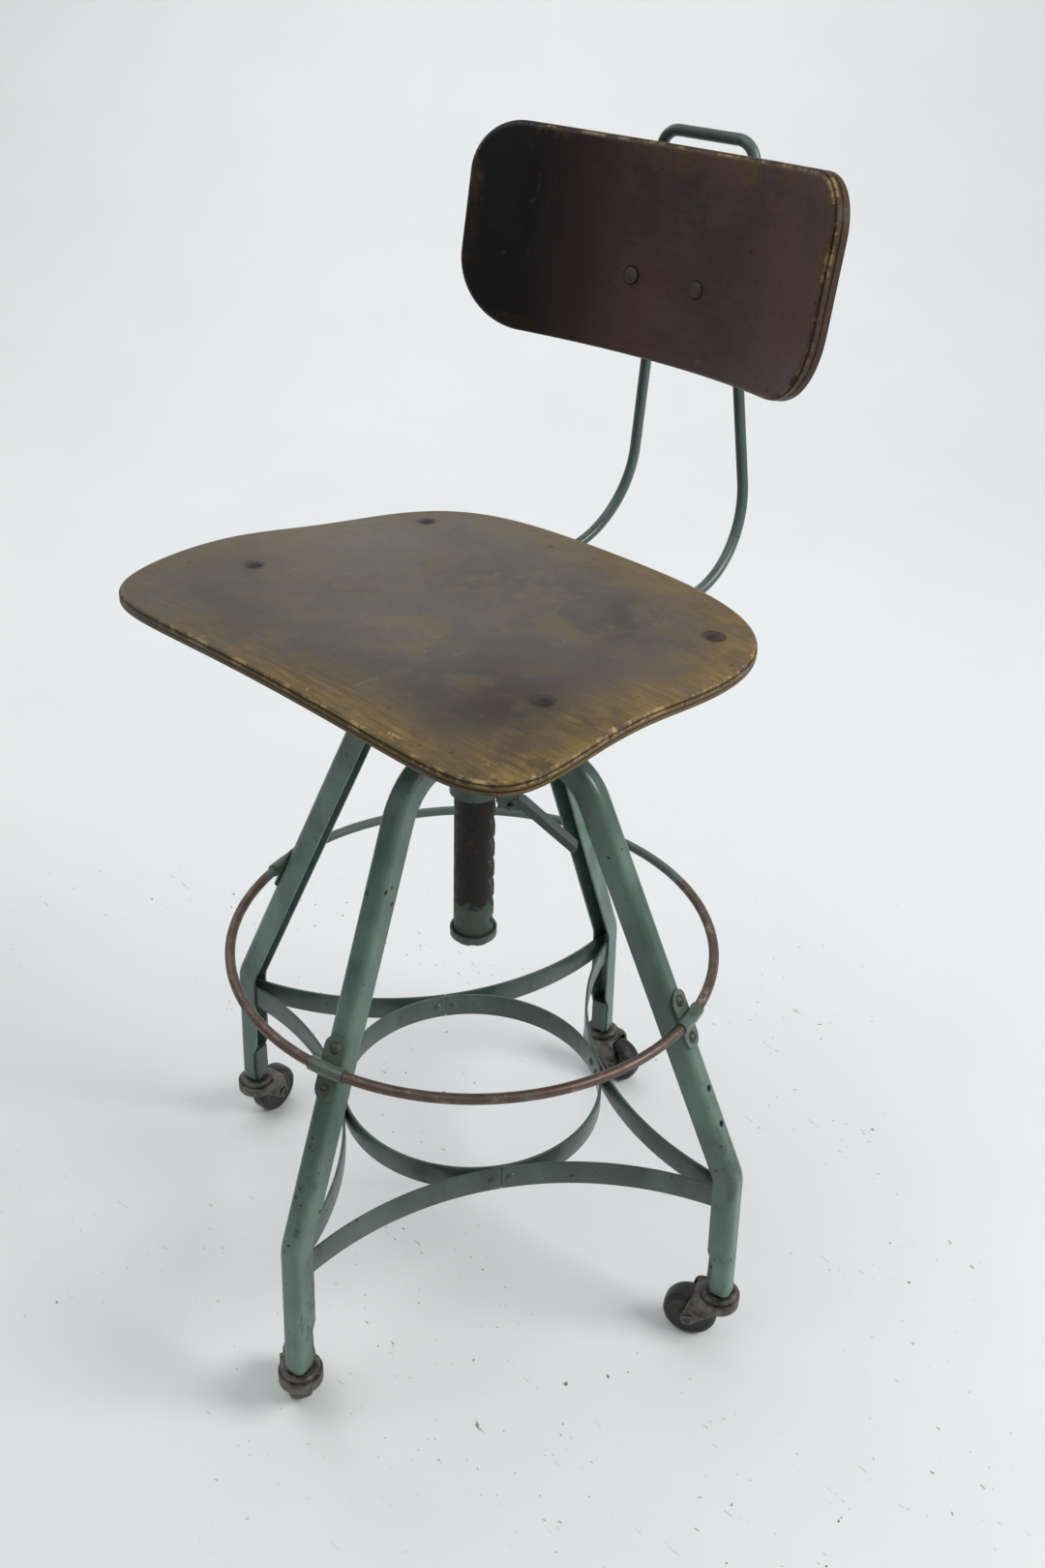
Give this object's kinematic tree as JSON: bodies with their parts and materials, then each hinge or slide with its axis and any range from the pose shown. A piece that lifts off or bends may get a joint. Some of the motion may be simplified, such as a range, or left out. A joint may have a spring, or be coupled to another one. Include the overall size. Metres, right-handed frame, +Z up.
{
  "type": "drafting stool",
  "caption": "Rolling drafting stool with channel legs, foot ring, notched height post, swivelling moulded plywood seat and a plywood backrest on a bent rod.",
  "frame": {"origin": "on the floor under the height post's axis", "axes": "+Z up; the sitter faces -Y and their left hand is at +X"},
  "size_m": [0.5708, 0.5699, 1.0072],
  "materials": {
    "leg_enamel": "worn grey-green enamel, chipped",
    "rod_enamel": "worn dark grey-green enamel on spring rod",
    "brace_enamel": "worn grey-green enamel on flat strip",
    "hub_enamel": "dark grey-green enamel",
    "ring_steel": "enamel worn to brown bare steel",
    "post_steel": "dark greasy steel",
    "zinc_fastener": "dulled zinc",
    "brown_fastener": "browned steel",
    "dark_fastener": "blackened steel",
    "caster_steel": "grey patinated pressed steel",
    "wheel_tread": "hard black composition",
    "washer_rubber": "black",
    "seat_ply": "worn olive-brown varnish on moulded plywood",
    "back_ply": "worn dark brown varnish on moulded plywood"
  },
  "bodies": {
    "base": {"leg_1": "leg_enamel", "ring_clip_1": "leg_enamel", "brace_strap_1": "brace_enamel", "leg_2": "leg_enamel", "ring_clip_2": "leg_enamel", "brace_strap_2": "brace_enamel", "leg_3": "leg_enamel", "ring_clip_3": "leg_enamel", "brace_strap_3": "brace_enamel", "leg_4": "leg_enamel", "ring_clip_4": "leg_enamel", "brace_strap_4": "brace_enamel", "hub_sleeve": "hub_enamel", "hub_top_plate": "hub_enamel", "hub_bottom_plate": "hub_enamel", "hub_bolts": "dark_fastener", "hub_nuts": "dark_fastener", "clip_screws": "dark_fastener", "clip_nuts": "dark_fastener", "brace_ring": "brace_enamel", "brace_rivets": "brace_enamel", "foot_ring": "ring_steel", "lever_bracket": "hub_enamel", "lever_pin": "dark_fastener", "lever_spring": "dark_fastener", "caster_stems": "caster_steel", "caster_sockets": "hub_enamel"},
    "post": {"ratchet_post": "post_steel", "post_plug": "post_steel", "post_end_cap": "hub_enamel", "post_end_bolt": "dark_fastener", "post_bush": "post_steel"},
    "lever": {"release_lever": "hub_enamel"},
    "seat": {"seat_shell": "seat_ply", "seat_bolts": "brown_fastener", "seat_washers": "washer_rubber", "seat_nuts": "dark_fastener", "seat_spider": "hub_enamel", "swivel_spindle": "post_steel", "back_rod": "rod_enamel", "rod_clamp": "hub_enamel", "rod_clamp_bolts": "dark_fastener", "rod_clamp_nuts": "dark_fastener"},
    "backrest": {"backrest_panel": "back_ply", "back_bolts": "dark_fastener", "wing_nuts": "zinc_fastener", "back_bracket": "hub_enamel", "back_clamp_plate": "hub_enamel"},
    "caster_1": {"caster_horn_1": "caster_steel", "caster_axle_1": "dark_fastener"},
    "wheel_1": {"caster_wheel_1": "wheel_tread"},
    "caster_2": {"caster_horn_2": "caster_steel", "caster_axle_2": "dark_fastener"},
    "wheel_2": {"caster_wheel_2": "wheel_tread"},
    "caster_3": {"caster_horn_3": "caster_steel", "caster_axle_3": "dark_fastener"},
    "wheel_3": {"caster_wheel_3": "wheel_tread"},
    "caster_4": {"caster_horn_4": "caster_steel", "caster_axle_4": "dark_fastener"},
    "wheel_4": {"caster_wheel_4": "wheel_tread"}
  },
  "joints": [
    {"name": "post_slide", "type": "slide", "parent": "base", "child": "post", "axis": [0, 0, 1], "range_m": [-0.045, 0.125]},
    {"name": "seat_swivel", "type": "hinge", "parent": "post", "child": "seat", "pos_m": [0, 0, 0.65], "axis": [0, 0, 1], "continuous": true},
    {"name": "backrest_slide", "type": "slide", "parent": "seat", "child": "backrest", "axis": [0, 0, 1], "range_m": [-0.026, 0.06]},
    {"name": "lever_pivot", "type": "hinge", "parent": "base", "child": "lever", "pos_m": [0.02375, 0.01993, 0.4955], "axis": [0.6428, -0.766, 0], "range_deg": [0, 18], "stiffness_Nm_per_rad": 0.3, "springref_deg": -17.19},
    {"name": "caster_swivel_1", "type": "hinge", "parent": "base", "child": "caster_1", "pos_m": [0.06207, -0.26462, 0.053], "axis": [0, 0, 1], "continuous": true},
    {"name": "wheel_spin_1", "type": "hinge", "parent": "caster_1", "child": "wheel_1", "pos_m": [0.04128, -0.25262, 0.0254], "axis": [-0.5, -0.866, 0], "continuous": true},
    {"name": "caster_swivel_2", "type": "hinge", "parent": "base", "child": "caster_2", "pos_m": [0.26462, 0.06207, 0.053], "axis": [0, 0, 1], "continuous": true},
    {"name": "wheel_spin_2", "type": "hinge", "parent": "caster_2", "child": "wheel_2", "pos_m": [0.24305, 0.05155, 0.0254], "axis": [0.4384, -0.8988, 0], "continuous": true},
    {"name": "caster_swivel_3", "type": "hinge", "parent": "base", "child": "caster_3", "pos_m": [-0.06207, 0.26462, 0.053], "axis": [0, 0, 1], "continuous": true},
    {"name": "wheel_spin_3", "type": "hinge", "parent": "caster_3", "child": "wheel_3", "pos_m": [-0.03836, 0.26837, 0.0254], "axis": [-0.1564, 0.9877, 0], "continuous": true},
    {"name": "caster_swivel_4", "type": "hinge", "parent": "base", "child": "caster_4", "pos_m": [-0.26462, -0.06207, 0.053], "axis": [0, 0, 1], "continuous": true},
    {"name": "wheel_spin_4", "type": "hinge", "parent": "caster_4", "child": "wheel_4", "pos_m": [-0.2692, -0.03851, 0.0254], "axis": [-0.9816, -0.1908, 0], "continuous": true}
  ]
}
